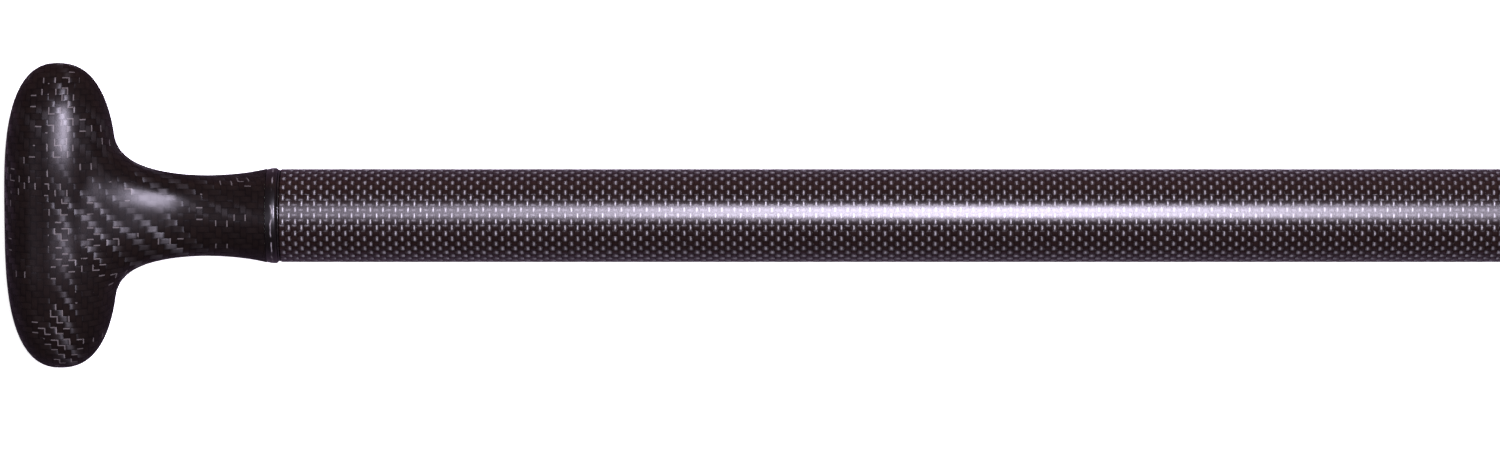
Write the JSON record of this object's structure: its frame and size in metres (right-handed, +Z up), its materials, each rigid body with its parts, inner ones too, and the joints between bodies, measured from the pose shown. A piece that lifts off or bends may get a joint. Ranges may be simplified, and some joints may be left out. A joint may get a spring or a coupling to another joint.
{
  "type": "paddle",
  "caption": "Single-bladed carbon paddle lying flat: moulded T-grip with an end collar, straight tubular shaft, and a flat blade with a tapering spine and a rounded tip.",
  "frame": {"origin": "centre of the paddle's bounding box in plan, on the surface that it lies on", "axes": "+X along the shaft from the grip towards the blade's tip, +Y along the T-bar and across the blade, +Z up, square to the blade"},
  "size_m": [1.22, 0.177, 0.0301],
  "materials": {
    "twill_carbon": "satin",
    "plain_weave_carbon": "gloss",
    "blade_carbon": "gloss",
    "gloss_black_resin": "gloss",
    "dark_epoxy": "matte",
    "glass_fibre_laminate": "satin",
    "grip_foam": "matte",
    "blade_foam": "matte",
    "plug_foam": "matte"
  },
  "bodies": {
    "root": {"grip_upper_shell": "twill_carbon", "grip_lower_shell": "twill_carbon", "grip_foam_core": "grip_foam", "grip_collar": "gloss_black_resin", "grip_spigot": "glass_fibre_laminate", "grip_bond_line": "dark_epoxy", "shaft_tube": "plain_weave_carbon", "shaft_upper_bulkhead": "plug_foam", "shaft_lower_bulkhead": "plug_foam", "blade_bond_line": "dark_epoxy", "blade_spigot": "glass_fibre_laminate", "blade_power_face": "blade_carbon", "blade_back_face": "blade_carbon", "blade_edge_strip": "gloss_black_resin", "blade_core_left": "blade_foam", "blade_core_right": "blade_foam", "blade_centre_web": "glass_fibre_laminate"}
  },
  "joints": []
}
